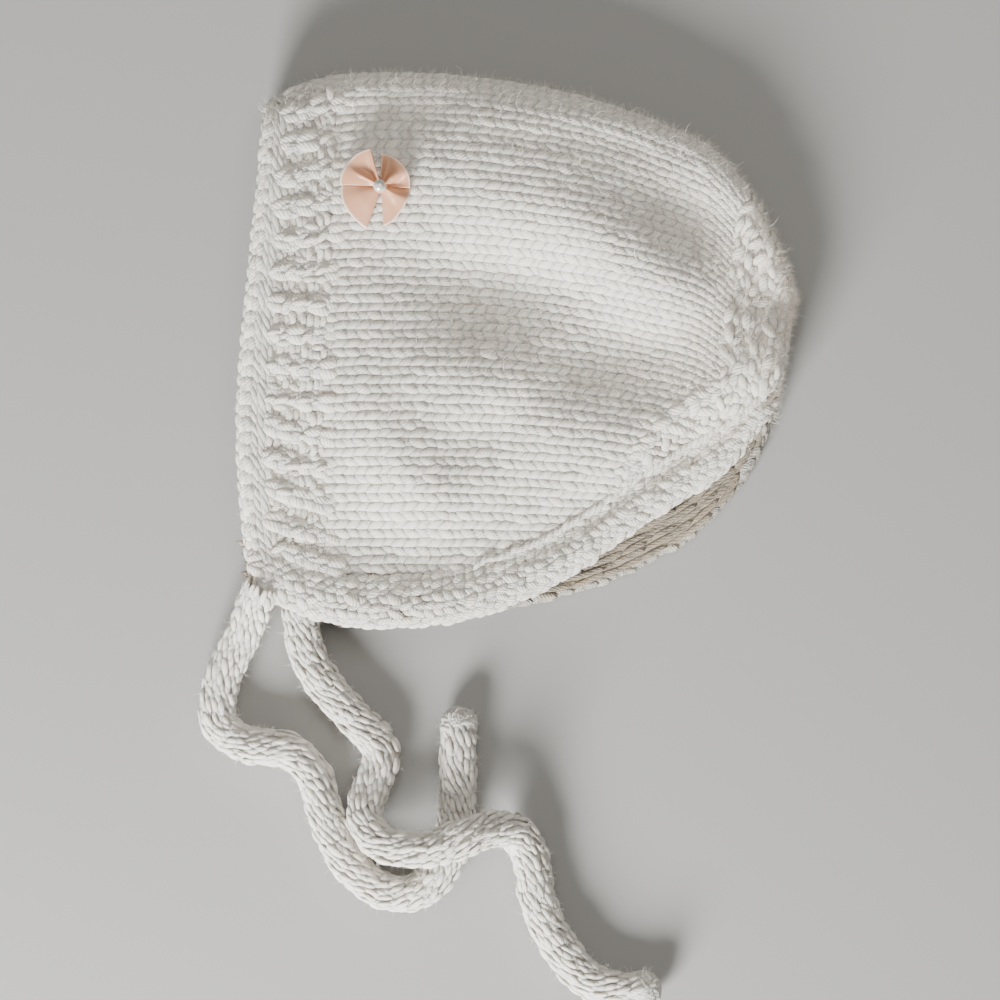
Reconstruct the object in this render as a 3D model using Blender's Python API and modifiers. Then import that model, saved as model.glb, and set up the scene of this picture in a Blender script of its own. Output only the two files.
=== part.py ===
# Hand-knitted baby bonnet, lying flat on its side on a surface.
# Metres, +Z up. +X runs from the face edge to the back of the head, +Y from the neck to the crown.
# The origin is under the middle of the bonnet, on the surface that it lies on.
from collections import namedtuple
from math import cos, exp, pi, radians, sin, sqrt, tau

import bmesh
import bpy
from mathutils import Matrix, Vector

# Driving dimensions of the knitted shell
DEPTH = 0.1653  # face edge to the back of the head
HEIGHT = 0.1650  # neck edge to the crown
WALL = 0.0030  # thickness of the knitted cloth
GAP = 0.0004  # clearance between pieces that touch on the real bonnet
LOFT = 0.0210  # height of the upper layer above the lower one, middle to middle of the cloth
CROWN_FOLD = 0.0140  # how far in from the crown the cloth takes to turn over
FRONT_BULGE = 0.0055  # how far the face edge bows out between its corners
FRONT_BAND_SHARE = 1 / 11  # share of the front-to-back run taken by the ribbed band
GATHER_SHARE = 8 / 11  # share of that run where the gathered back begins
NECK_BAND = 0.0150  # height of the band along the neck edge
NECK_BAND_TAPER = 0.60  # share of its height that the neck band loses towards the back corner

# Fineness of the mesh: lines of faces front to back in each stretch, and round a section
BAND_LINES = 4
BODY_LINES = 18
GATHER_LINES = 10
SECTION_LINES = 48

# The ribs of the face band
RIB_PITCH = 0.0096
RIB_HEIGHT = 0.0011
RIB_REST = 0.0003  # how far the lower layer's ribs are drawn in, so that none dips under the surface

# The chin ties
TIE_THICKNESS = 0.0104
TIE_STEP = 0.0068

# The ribbon bow and its pearl
BOW_REACH = 0.0120  # from the pearl to the edge of a lobe
BOW_ALONG = 0.162  # place on the shell, front to back
BOW_ACROSS = 0.237  # place on the shell, crown to neck
BOW_TURN = 0.0
BOW_LIFT = 0.0014  # from the cloth to the lobes' undersides at the knot
RIBBON = 0.0008
LOBE_ARCH = 0.0022
LOBE_CREST = 0.75  # share of a lobe's length at which its arch stops coming down
LOBE_EDGE = 0.40  # height of a lobe's side edges as a share of its middle
KNOT_WIDTH = 0.0042
KNOT_HEIGHT = 0.0034
PEARL = 0.0039

# Sections from the face edge to the back, each a line from the crown fold to the neck edge.
# Places are shares of DEPTH and HEIGHT from the face edge and from the lowest point of the neck,
# to the middle of the wall. The upper layer ends short of the lower one towards the back.
# loft and neck_loft are shares of LOFT, at the full height and at the neck edge.
Section = namedtuple("Section", "crown_x crown_y neck_x neck_y short_x short_y loft neck_loft")
SECTIONS = [
    Section(0.045, 0.942, 0.024, 0.062, 0.024, 0.062, 0.80, 0.62),
    Section(0.167, 0.985, 0.162, 0.011, 0.162, 0.011, 0.90, 0.62),
    Section(0.285, 0.991, 0.276, 0.004, 0.276, 0.004, 1.00, 0.60),
    Section(0.412, 0.985, 0.390, 0.015, 0.390, 0.015, 1.02, 0.56),
    Section(0.539, 0.967, 0.510, 0.044, 0.503, 0.051, 1.00, 0.50),
    Section(0.655, 0.938, 0.630, 0.075, 0.613, 0.109, 0.98, 0.42),
    Section(0.762, 0.898, 0.735, 0.120, 0.720, 0.185, 0.95, 0.38),
    Section(0.849, 0.855, 0.819, 0.171, 0.800, 0.235, 0.92, 0.36),
    Section(0.911, 0.782, 0.875, 0.225, 0.849, 0.265, 0.88, 0.42),
    Section(0.955, 0.698, 0.920, 0.291, 0.895, 0.313, 0.84, 0.48),
    Section(0.980, 0.631, 0.947, 0.356, 0.933, 0.364, 0.80, 0.54),
    Section(0.991, 0.578, 0.960, 0.405, 0.960, 0.405, 0.72, 0.58),
]

# Dents and ridges of the upper layer. x and length are shares of DEPTH, y and width shares of
# HEIGHT, turn is in degrees from +X towards +Y, and lift is a share of LOFT.
Fold = namedtuple("Fold", "x y length width turn lift")
FOLDS = [
    Fold(0.47, 0.58, 0.165, 0.084, -5, -0.30),
    Fold(0.75, 0.52, 0.230, 0.080, 20, -0.30),
    Fold(0.90, 0.76, 0.235, 0.092, -5, -0.20),
    Fold(0.52, 0.77, 0.240, 0.064, -20, 0.06),
    Fold(0.29, 0.95, 0.180, 0.076, 20, -0.34),
    Fold(0.46, 0.36, 0.085, 0.052, 40, -0.16),
    Fold(0.57, 0.24, 0.240, 0.044, 35, 0.18),
    Fold(0.27, 0.14, 0.240, 0.080, -5, -0.16),
    Fold(0.88, 0.43, 0.160, 0.048, 30, 0.14),
    Fold(0.52, 0.20, 0.240, 0.056, 30, -0.20),
    Fold(0.88, 0.67, 0.240, 0.072, -40, -0.24),
    Fold(0.49, 0.64, 0.210, 0.068, -10, -0.22),
    Fold(0.52, 0.39, 0.240, 0.096, -20, 0.20),
    Fold(0.75, 0.61, 0.190, 0.084, -40, 0.20),
    Fold(0.72, 0.87, 0.240, 0.040, -5, -0.10),
    Fold(0.28, 0.31, 0.150, 0.072, -55, 0.16),
]

# The lobes of the bow, seen from above with the pearl at the middle: turn in degrees from +X
# towards +Y, reach as a share of BOW_REACH.
Reach = namedtuple("Reach", "turn reach")
LOBES = {
    "bow_left_loop": [Reach(110, 0.96), Reach(130, 1.00), Reach(151, 1.03), Reach(172, 1.02)],
    "bow_left_tail": [Reach(178, 1.01), Reach(202, 1.06), Reach(226, 1.04), Reach(248, 1.11)],
    "bow_right_loop": [Reach(3, 0.74), Reach(30, 0.73), Reach(57, 0.77), Reach(84, 0.78)],
    "bow_right_tail": [Reach(-84, 0.96), Reach(-58, 0.80), Reach(-33, 0.72), Reach(-6, 0.72)],
}

# Routes of the chin ties, from the bonnet's front corner to the free end
NEAR_TIE_ROUTE = [
    (-0.0775, -0.0734, 0.0125),
    (-0.0822, -0.0850, 0.0072),
    (-0.0882, -0.0980, 0.0053),
    (-0.0898, -0.1110, 0.0053),
    (-0.0815, -0.1178, 0.0053),
    (-0.0690, -0.1198, 0.0053),
    (-0.0612, -0.1270, 0.0053),
    (-0.0576, -0.1385, 0.0053),
    (-0.0510, -0.1530, 0.0053),
    (-0.0400, -0.1618, 0.0053),
    (-0.0290, -0.1612, 0.0053),
    (-0.0215, -0.1530, 0.0053),
    (-0.0188, -0.1410, 0.0053),
    (-0.0180, -0.1260, 0.0053),
    (-0.0176, -0.1080, 0.0053),
]
FAR_TIE_ROUTE = [
    (-0.0648, -0.0806, 0.0060),
    (-0.0632, -0.0905, 0.0054),
    (-0.0575, -0.1005, 0.0053),
    (-0.0490, -0.1100, 0.0053),
    (-0.0410, -0.1195, 0.0053),
    (-0.0436, -0.1300, 0.0062),
    (-0.0460, -0.1385, 0.0092),
    (-0.0425, -0.1460, 0.0120),
    (-0.0340, -0.1490, 0.0155),
    (-0.0240, -0.1482, 0.0163),
    (-0.0150, -0.1450, 0.0160),
    (-0.0070, -0.1425, 0.0120),
    (0.0005, -0.1450, 0.0070),
    (0.0045, -0.1545, 0.0053),
    (0.0060, -0.1650, 0.0053),
    (0.0115, -0.1770, 0.0053),
    (0.0210, -0.1880, 0.0053),
    (0.0330, -0.1918, 0.0053),
    (0.0412, -0.1900, 0.0053),
]


def clear_scene():
    for obj in list(bpy.data.objects):
        bpy.data.objects.remove(obj, do_unlink=True)


def material(name, colour, roughness, metallic=0.0):
    mat = bpy.data.materials.new(name)
    mat.use_nodes = True
    shader = mat.node_tree.nodes["Principled BSDF"]
    shader.inputs["Base Color"].default_value = (*colour, 1.0)
    shader.inputs["Roughness"].default_value = roughness
    shader.inputs["Metallic"].default_value = metallic
    return mat


def smooth_read(rows, place):
    """A Catmull-Rom reading of evenly spaced rows of numbers, at a place from 0 to 1."""
    spot = min(max(place, 0.0), 1.0) * (len(rows) - 1)
    first = min(int(spot), len(rows) - 2)
    f = spot - first
    before = rows[first - 1] if first else [2 * a - b for a, b in zip(rows[0], rows[1])]
    last = first + 2 == len(rows)
    after = [2 * b - a for a, b in zip(rows[-2], rows[-1])] if last else rows[first + 2]
    values = []
    for a, b, c, d in zip(before, rows[first], rows[first + 1], after):
        values.append(b + f * (c - a + f * (2 * a - 5 * b + 4 * c - d + f * (3 * (b - c) + d - a))) / 2)
    return values


def blend(share):
    share = min(max(share, 0.0), 1.0)
    return share * share * (3 - 2 * share)


def section_at(along):
    """The section at a share of the front-to-back run, in metres."""
    row = Section(*smooth_read(SECTIONS, along))
    crown = Vector((row.crown_x * DEPTH, row.crown_y * HEIGHT))
    neck = Vector((row.neck_x * DEPTH, row.neck_y * HEIGHT))
    short = Vector((row.short_x * DEPTH, row.short_y * HEIGHT))
    corner = Vector((DEPTH, HEIGHT)) / 2
    return crown - corner, neck - corner, short - corner, row.loft * LOFT, row.neck_loft / row.loft


def fold_lift(x, y):
    """How far the dents and ridges raise the upper layer at a place in plan."""
    lift = 0.0
    for fold in FOLDS:
        dx = x - (fold.x - 0.5) * DEPTH
        dy = y - (fold.y - 0.5) * HEIGHT
        turn = radians(fold.turn)
        a = (dx * cos(turn) + dy * sin(turn)) / (fold.length * DEPTH)
        b = (dy * cos(turn) - dx * sin(turn)) / (fold.width * HEIGHT)
        lift += fold.lift * LOFT * exp(-(a * a + b * b))
    return lift


def closing(along):
    """How far along the gathered back a place is, 0 where it begins to 1 at the closed back."""
    return max(along - GATHER_SHARE, 0.0) / (1 - GATHER_SHARE)


def shell_point(along, across):
    """The middle of the wall. along runs 0 at the face edge to 1 at the back, across -1 at the
    lower layer's neck edge through 0 at the crown to 1 at the upper layer's neck edge."""
    crown, neck, short, loft, neck_share = section_at(along)
    edge = short if across > 0 else neck
    span = abs(across)
    width = (edge - crown).length
    fold = min(CROWN_FOLD / width, 0.45)
    turned = fold * pi / (2 * (1 - fold) + fold * pi)
    angle = min(span / turned, 1.0) * pi / 2
    if span < turned:
        plan = fold * (1 - cos(angle))
    else:
        plan = fold + (span - turned) * (1 - fold) / (1 - turned)
    spot = crown + (edge - crown) * plan
    spot.x -= FRONT_BULGE * sin(pi * plan**1.5) * (1 - blend(along / (2 * FRONT_BAND_SHARE)))
    swell = sin(angle) * sqrt(max(1 - closing(along) ** 4, 0.0))
    middle = WALL / 2 + loft / 2
    if across <= 0:
        return Vector((spot.x, spot.y, middle - swell * loft / 2))
    droop = 1 - (1 - neck_share) * blend((span - turned) / (1 - turned))
    rise = loft * droop - loft / 2 + fold_lift(spot.x, spot.y) * sin(angle)
    return Vector((spot.x, spot.y, middle + swell * rise))


def shell_outward(along, across):
    """The direction straight out of the cloth."""
    step = 0.002
    along = min(max(along, step), 1 - step)
    run = shell_point(along + step, across) - shell_point(along - step, across)
    fall = shell_point(along, across + step) - shell_point(along, across - step)
    return fall.cross(run).normalized()


def band_share(along, upper):
    """The share of a section, from the neck edge, that the neck band takes."""
    crown, neck, short, loft, neck_share = section_at(along)
    band = NECK_BAND * (1 - NECK_BAND_TAPER * closing(along))
    return band / ((short if upper else neck) - crown).length


def gap_share(along, upper):
    """The clearance to the neck band, as a share of the section. The sections slant to the band
    at the back, where it is measured further along them to be as wide straight across."""
    crown, neck, short, loft, neck_share = section_at(along)
    slant = 1 + 4 * closing(along)
    return 2 * slant * GAP / ((short if upper else neck) - crown).length


def seam_share(along, across):
    """The clearance between two pieces that meet along a section, as a share of the run."""
    step = 0.01
    run = shell_point(along + step, across) - shell_point(along - step, across)
    return 2.2 * GAP * 2 * step / run.length


def station(count):
    """The place front to back of a counted line of the mesh, closer together at the closed back."""
    if count <= BAND_LINES:
        return FRONT_BAND_SHARE * count / BAND_LINES
    if count <= BAND_LINES + BODY_LINES:
        return FRONT_BAND_SHARE + (GATHER_SHARE - FRONT_BAND_SHARE) * (count - BAND_LINES) / BODY_LINES
    turn = (count - BAND_LINES - BODY_LINES) / GATHER_LINES * pi / 2
    return GATHER_SHARE + (1 - GATHER_SHARE) * sin(turn)


def add_object(name, mesh, mat, collection):
    obj = bpy.data.objects.new(name, mesh)
    obj.data.materials.append(mat)
    collection.objects.link(obj)
    return obj


def grid_mesh(name, columns, rows, place):
    """A grid whose corners are set by place(column share, row share)."""
    bm = bmesh.new()
    bmesh.ops.create_grid(bm, x_segments=columns, y_segments=rows, size=0.5)
    for vert in bm.verts:
        vert.co = place(vert.co.x + 0.5, vert.co.y + 0.5)
    bmesh.ops.remove_doubles(bm, verts=bm.verts, dist=0.00002)
    bmesh.ops.recalc_face_normals(bm, faces=bm.faces)
    mesh = bpy.data.meshes.new(name)
    bm.to_mesh(mesh)
    bm.free()
    mesh.shade_smooth()
    return mesh


def add_wall(obj, thickness):
    wall = obj.modifiers.new("Wall", "SOLIDIFY")
    wall.thickness = thickness
    wall.offset = 0.0
    wall.use_even_offset = True


def crown_body(mat, collection):

    def place(column, row):
        across = 2 * row - 1
        along = station(BAND_LINES + BODY_LINES * column)
        if column > 0.999:
            along -= seam_share(along, across)
        reach = 1 - band_share(along, across > 0) - gap_share(along, across > 0)
        return shell_point(along, across * reach)

    mesh = grid_mesh("crown_body", BODY_LINES, SECTION_LINES, place)
    add_wall(add_object("crown_body", mesh, mat, collection), WALL)


def front_rib_band(mat, collection):
    ribs = round(2 * HEIGHT * 0.9 / RIB_PITCH)

    def place(column, row):
        across = 2 * row - 1
        along = station(BAND_LINES * column)
        if column > 0.999:
            along -= seam_share(along, across)
        reach = 1 - band_share(along, across > 0) - gap_share(along, across > 0)
        outward = shell_outward(along, across * reach)
        kept_up = max(-outward.z, 0.0)
        wave = RIB_HEIGHT * (cos(tau * ribs * row) - kept_up) - RIB_REST * kept_up
        return shell_point(along, across * reach) + outward * wave

    mesh = grid_mesh("front_rib_band", BAND_LINES, 4 * ribs, place)
    add_wall(add_object("front_rib_band", mesh, mat, collection), WALL)


def back_gather(mat, collection):
    def place(column, row):
        along = station(BAND_LINES + BODY_LINES + GATHER_LINES * column)
        across = 2 * row - 1
        reach = 1 - band_share(along, across > 0) - gap_share(along, across > 0)
        return shell_point(along, across * reach)

    mesh = grid_mesh("back_gather", GATHER_LINES, SECTION_LINES, place)
    add_wall(add_object("back_gather", mesh, mat, collection), WALL)


def neck_band(mat, collection):
    """One strip from the lower front corner round the back corner to the upper front corner."""

    lines = BAND_LINES + BODY_LINES + GATHER_LINES

    def place(column, row):
        upper = column > 0.5
        along = station(lines * (1 - abs(2 * column - 1)))
        share = band_share(along, upper)
        across = 1 - share * row
        return shell_point(along, across if upper else -across)

    add_wall(add_object("neck_band", grid_mesh("neck_band", 2 * lines, 3, place), mat, collection), WALL)


def tie(name, route, mat, collection):
    """A round cord along a smooth curve through its route."""
    length = sum((Vector(b) - Vector(a)).length for a, b in zip(route, route[1:]))
    count = round(length / TIE_STEP)
    curve = bpy.data.curves.new(name, "CURVE")
    curve.dimensions = "3D"
    curve.bevel_depth = TIE_THICKNESS / 2
    curve.bevel_resolution = 3
    curve.use_fill_caps = True
    spline = curve.splines.new("POLY")
    spline.points.add(count)
    for i, point in enumerate(spline.points):
        point.co = (*smooth_read(route, i / count), 1.0)
    curve.materials.append(mat)
    obj = bpy.data.objects.new(name, curve)
    collection.objects.link(obj)


def bow_frame():
    """The middle of the bow on the cloth, with its Z axis straight out of the cloth."""
    normal = shell_outward(BOW_ALONG, BOW_ACROSS)
    right = Vector((cos(BOW_TURN), sin(BOW_TURN), 0.0))
    up = normal.cross(right).normalized()
    right = up.cross(normal)
    at = shell_point(BOW_ALONG, BOW_ACROSS) + normal * (WALL / 2 + GAP)
    return Matrix.Translation(at) @ Matrix((right, up, normal)).transposed().to_4x4()


def lobe(name, rows, lift, frame, mat, collection):
    """A fan of ribbon from the knot out to a curved edge, arched like a folded loop."""
    inner = (KNOT_WIDTH / 2 + GAP) / BOW_REACH

    def place(column, row):
        turn, reach = smooth_read(rows, row)
        turn = radians(turn)
        out = (inner + (reach - inner) * column) * BOW_REACH
        arch = sin(pi * min(column, LOBE_CREST)) * (LOBE_EDGE + (1 - LOBE_EDGE) * sin(pi * row))
        height = lift + LOBE_ARCH * arch
        return frame @ Vector((out * cos(turn), out * sin(turn), height))

    obj = add_object(name, grid_mesh(name, 6, 8, place), mat, collection)
    add_wall(obj, RIBBON)


def bow_knot(frame, mat, collection):
    bm = bmesh.new()
    bmesh.ops.create_uvsphere(bm, u_segments=16, v_segments=10, radius=0.5)
    mesh = bpy.data.meshes.new("bow_knot")
    bm.to_mesh(mesh)
    bm.free()
    mesh.shade_smooth()
    centre = Matrix.Translation((0, 0, KNOT_HEIGHT / 2))
    mesh.transform(frame @ centre @ Matrix.Diagonal((KNOT_WIDTH, KNOT_WIDTH, KNOT_HEIGHT, 1)))
    add_object("bow_knot", mesh, mat, collection)


def pearl(frame, mat, collection):
    bm = bmesh.new()
    bmesh.ops.create_uvsphere(bm, u_segments=16, v_segments=12, radius=PEARL / 2)
    mesh = bpy.data.meshes.new("pearl")
    bm.to_mesh(mesh)
    bm.free()
    mesh.shade_smooth()
    obj = add_object("pearl", mesh, mat, collection)
    obj.location = frame @ Vector((0, 0, KNOT_HEIGHT + GAP + PEARL / 2))


def build():
    clear_scene()
    collection = bpy.data.collections.new("baby_bonnet")
    bpy.context.scene.collection.children.link(collection)
    white = (0.80, 0.78, 0.74)
    crown_body(material("body_knit", white, 0.85), collection)
    front_rib_band(material("rib_knit", white, 0.85), collection)
    back_gather(material("gather_knit", white, 0.85), collection)
    neck_band(material("band_knit", white, 0.85), collection)
    tie("near_tie", NEAR_TIE_ROUTE, material("near_tie_knit", white, 0.85), collection)
    tie("far_tie", FAR_TIE_ROUTE, material("far_tie_knit", white, 0.85), collection)
    frame = bow_frame()
    satin = (0.80, 0.50, 0.39)
    for name, rows in LOBES.items():
        lift = BOW_LIFT + (RIBBON + GAP if name.endswith("loop") else 0.0)
        lobe(name, rows, lift, frame, material(name + "_satin", satin, 0.35), collection)
    bow_knot(frame, material("knot_satin", satin, 0.35), collection)
    pearl(frame, material("pearl_bead", (0.86, 0.84, 0.80), 0.2), collection)


build()
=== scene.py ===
"""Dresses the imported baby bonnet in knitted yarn, satin ribbon and a pearl.

The bonnet lies on its side. +X runs from the face edge to the back of the head, +Y from the neck
edge to the crown and +Z up. Every stitch is a strand of yarn laid on the cloth's own surface.
"""

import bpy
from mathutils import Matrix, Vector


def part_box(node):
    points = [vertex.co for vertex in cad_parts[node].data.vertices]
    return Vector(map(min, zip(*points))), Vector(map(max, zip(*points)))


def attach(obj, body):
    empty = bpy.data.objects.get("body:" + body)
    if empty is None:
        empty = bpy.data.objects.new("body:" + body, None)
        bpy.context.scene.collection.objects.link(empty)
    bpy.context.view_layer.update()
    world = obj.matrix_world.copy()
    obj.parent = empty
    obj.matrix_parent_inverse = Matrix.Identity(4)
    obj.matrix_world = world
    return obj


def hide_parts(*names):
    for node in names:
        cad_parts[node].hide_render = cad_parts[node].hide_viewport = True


bl_info = {
    "name": "Knitted baby bonnet",
    "version": (1, 0, 0),
    "blender": (4, 5, 0),
    "location": "View3D > Sidebar > Bonnet",
    "description": "Knits the bonnet, its ties and its ribbon bow over the packed frame",
    "category": "Object",
}

from collections import namedtuple
from math import cos, pi, radians, sin, tau

import bmesh
import bpy
import numpy as np
from mathutils import Matrix, Vector

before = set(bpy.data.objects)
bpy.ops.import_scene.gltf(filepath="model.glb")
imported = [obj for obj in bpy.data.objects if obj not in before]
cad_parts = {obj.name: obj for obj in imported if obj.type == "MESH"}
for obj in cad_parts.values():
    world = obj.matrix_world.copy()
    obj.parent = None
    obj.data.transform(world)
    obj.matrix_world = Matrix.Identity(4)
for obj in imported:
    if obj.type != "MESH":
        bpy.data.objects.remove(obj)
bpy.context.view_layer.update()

# The cloth's shape, as in the frame. Places are shares of the depth and the height, to the middle
# of the wall; loft and neck_loft are shares of the loft.
Section = namedtuple("Section", "crown_x crown_y neck_x neck_y short_x short_y loft neck_loft")
SECTIONS = [
    Section(0.045, 0.942, 0.024, 0.062, 0.024, 0.062, 0.80, 0.62),
    Section(0.167, 0.985, 0.162, 0.011, 0.162, 0.011, 0.90, 0.62),
    Section(0.285, 0.991, 0.276, 0.004, 0.276, 0.004, 1.00, 0.60),
    Section(0.412, 0.985, 0.390, 0.015, 0.390, 0.015, 1.02, 0.56),
    Section(0.539, 0.967, 0.510, 0.044, 0.503, 0.051, 1.00, 0.50),
    Section(0.655, 0.938, 0.630, 0.075, 0.613, 0.109, 0.98, 0.42),
    Section(0.762, 0.898, 0.735, 0.120, 0.720, 0.185, 0.95, 0.38),
    Section(0.849, 0.855, 0.819, 0.171, 0.800, 0.235, 0.92, 0.36),
    Section(0.911, 0.782, 0.875, 0.225, 0.849, 0.265, 0.88, 0.42),
    Section(0.955, 0.698, 0.920, 0.291, 0.895, 0.313, 0.84, 0.48),
    Section(0.980, 0.631, 0.947, 0.356, 0.933, 0.364, 0.80, 0.54),
    Section(0.991, 0.578, 0.960, 0.405, 0.960, 0.405, 0.72, 0.58),
]

# Dents and ridges of the upper layer: x and length are shares of the depth, y and width of the
# height, turn is in degrees from +X towards +Y, and lift is a share of the loft.
Fold = namedtuple("Fold", "x y length width turn lift")
FOLDS = [
    Fold(0.47, 0.58, 0.165, 0.084, -5, -0.30),
    Fold(0.75, 0.52, 0.230, 0.080, 20, -0.30),
    Fold(0.90, 0.76, 0.235, 0.092, -5, -0.20),
    Fold(0.52, 0.77, 0.240, 0.064, -20, 0.06),
    Fold(0.29, 0.95, 0.180, 0.076, 20, -0.26),
    Fold(0.46, 0.36, 0.085, 0.052, 40, -0.16),
    Fold(0.57, 0.24, 0.240, 0.044, 35, 0.18),
    Fold(0.27, 0.14, 0.240, 0.080, -5, -0.16),
    Fold(0.88, 0.43, 0.160, 0.048, 30, 0.14),
    Fold(0.52, 0.20, 0.240, 0.056, 30, -0.20),
    Fold(0.88, 0.67, 0.240, 0.072, -40, -0.24),
    Fold(0.49, 0.64, 0.210, 0.068, -10, -0.22),
    Fold(0.52, 0.39, 0.240, 0.096, -20, 0.20),
    Fold(0.75, 0.61, 0.190, 0.084, -40, 0.20),
    Fold(0.72, 0.87, 0.240, 0.040, -5, -0.10),
    Fold(0.28, 0.31, 0.150, 0.072, -55, 0.16),
]

# Routes of the chin ties, from the bonnet's front corner to the free end
NEAR_TIE_ROUTE = [
    (-0.0775, -0.0734, 0.0125),
    (-0.0822, -0.0850, 0.0072),
    (-0.0882, -0.0980, 0.0053),
    (-0.0898, -0.1110, 0.0053),
    (-0.0815, -0.1178, 0.0053),
    (-0.0690, -0.1198, 0.0053),
    (-0.0612, -0.1270, 0.0053),
    (-0.0576, -0.1385, 0.0053),
    (-0.0510, -0.1530, 0.0053),
    (-0.0400, -0.1618, 0.0053),
    (-0.0290, -0.1612, 0.0053),
    (-0.0215, -0.1530, 0.0053),
    (-0.0188, -0.1410, 0.0053),
    (-0.0180, -0.1260, 0.0053),
    (-0.0176, -0.1080, 0.0053),
]
FAR_TIE_ROUTE = [
    (-0.0648, -0.0806, 0.0060),
    (-0.0632, -0.0905, 0.0054),
    (-0.0575, -0.1005, 0.0053),
    (-0.0490, -0.1100, 0.0053),
    (-0.0410, -0.1195, 0.0053),
    (-0.0436, -0.1300, 0.0062),
    (-0.0460, -0.1385, 0.0092),
    (-0.0425, -0.1460, 0.0120),
    (-0.0340, -0.1490, 0.0155),
    (-0.0240, -0.1482, 0.0163),
    (-0.0150, -0.1450, 0.0160),
    (-0.0070, -0.1425, 0.0120),
    (0.0005, -0.1450, 0.0070),
    (0.0045, -0.1545, 0.0053),
    (0.0060, -0.1650, 0.0053),
    (0.0115, -0.1770, 0.0053),
    (0.0210, -0.1880, 0.0053),
    (0.0330, -0.1918, 0.0053),
    (0.0412, -0.1900, 0.0053),
]

WALL = 0.0030  # thickness of the knitted cloth
PRESS = 0.0004  # how far the yarn pressed against the floor may reach under it
SHEET = 0.0009  # thickness of the plain sheets under the stitches
YARN_PLIES = 6
YARN_TWIST = 1.1  # turns of the plies along one strand
DEPTH = (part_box("back_gather")[1][0] - WALL / 2) / (SECTIONS[-1].crown_x - 0.5)
HEIGHT = (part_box("crown_body")[1][1] - WALL / 2) / (SECTIONS[2].crown_y - 0.5)
LOFT = 0.0210  # height of the lying bonnet
CROWN_FOLD = 0.0140  # reach of the round turn at the crown
FRONT_BULGE = 0.0055  # how far the face edge bows forward
FRONT_BAND_SHARE = 1 / 11  # where the face band ends
GATHER_SHARE = 8 / 11  # where the gathered back begins
NECK_BAND = 0.0150  # width of the neck band
NECK_BAND_TAPER = 0.60  # share of that width lost at the back

# The photograph shows 300 mm across its 1000 pixels, and its middle lies here on the surface
PICTURE_WIDTH = 0.300
PICTURE_MIDDLE = (-0.0054, -0.0447)
CAMERA_HEIGHT = 2.4

Template = namedtuple("Template", "points faces uvs")
rng = np.random.default_rng(7)


class BonnetSizes(bpy.types.PropertyGroup):
    wale: bpy.props.FloatProperty(
        name="Stitch width", description="Width of one column of stitches", default=0.0053, unit="LENGTH"
    )
    row: bpy.props.FloatProperty(
        name="Row height", description="Height of one row of stitches", default=0.0034, unit="LENGTH"
    )
    yarn: bpy.props.FloatProperty(
        name="Yarn thickness", description="Diameter of the yarn", default=0.0027, unit="LENGTH"
    )
    rib_pitch: bpy.props.FloatProperty(
        name="Rib pitch", description="From rib to rib of the face band", default=0.0096, unit="LENGTH"
    )
    rib_height: bpy.props.FloatProperty(
        name="Rib height", description="Half the height of a rib", default=0.0006, unit="LENGTH"
    )
    fuzz: bpy.props.FloatProperty(
        name="Fuzz length", description="Length of the loose fibres", default=0.0028, unit="LENGTH"
    )


class BonnetColours(bpy.types.PropertyGroup):
    yarn: bpy.props.FloatVectorProperty(
        name="Yarn", description="Colour of the wool", default=(0.93, 0.868, 0.775), subtype="COLOR"
    )
    satin: bpy.props.FloatVectorProperty(
        name="Ribbon", description="Colour of the satin", default=(0.60, 0.315, 0.19), subtype="COLOR"
    )
    pearl: bpy.props.FloatVectorProperty(
        name="Pearl", description="Colour of the pearl", default=(0.60, 0.60, 0.56), subtype="COLOR"
    )
    floor: bpy.props.FloatVectorProperty(
        name="Floor", description="Colour of the floor", default=(0.30, 0.30, 0.295), subtype="COLOR"
    )


# Reading tables and the cloth's surface


def read_table(table, place):
    """A smooth reading of evenly spaced rows, at places from 0 to 1."""
    table = np.array(table, float)
    spot = np.clip(place, 0.0, 1.0) * (len(table) - 1)
    first = np.minimum(spot.astype(int), len(table) - 2)
    f = (spot - first)[..., None]
    padded = np.vstack([2 * table[0] - table[1], table, 2 * table[-1] - table[-2]])
    a, b, c, d = (padded[first + k] for k in range(4))
    return b + f * (c - a + f * (2 * a - 5 * b + 4 * c - d + f * (3 * (b - c) + d - a))) / 2


def blend(share):
    """A smooth step from 0 to 1."""
    share = np.clip(share, 0.0, 1.0)
    return share * share * (3 - 2 * share)


def unit(vectors):
    """Vectors at length 1."""
    return vectors / np.maximum(np.linalg.norm(vectors, axis=-1, keepdims=True), 1e-12)


def fold_lift(x, y):
    """The height of the folds over a place of the upper layer."""
    lift = np.zeros_like(x)
    for fold in FOLDS:
        dx = x - (fold.x - 0.5) * DEPTH
        dy = y - (fold.y - 0.5) * HEIGHT
        turn = radians(fold.turn)
        a = (dx * cos(turn) + dy * sin(turn)) / (fold.length * DEPTH)
        b = (dy * cos(turn) - dx * sin(turn)) / (fold.width * HEIGHT)
        lift += fold.lift * LOFT * np.exp(-(a * a + b * b))
    return lift


def closing(along):
    """0 up to the gather, then 1 at the back."""
    return np.maximum(along - GATHER_SHARE, 0.0) / (1 - GATHER_SHARE)


def section_ends(along, across):
    """The crown and neck ends in plan of the sections, on the layer that across lies on."""
    row = read_table(SECTIONS, along)
    size = np.array((DEPTH, HEIGHT))
    crown = (row[..., 0:2] - 0.5) * size
    neck = np.where((across > 0)[..., None], row[..., 4:6], row[..., 2:4])
    return crown, (neck - 0.5) * size, row[..., 6] * LOFT, row[..., 7] * LOFT


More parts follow.
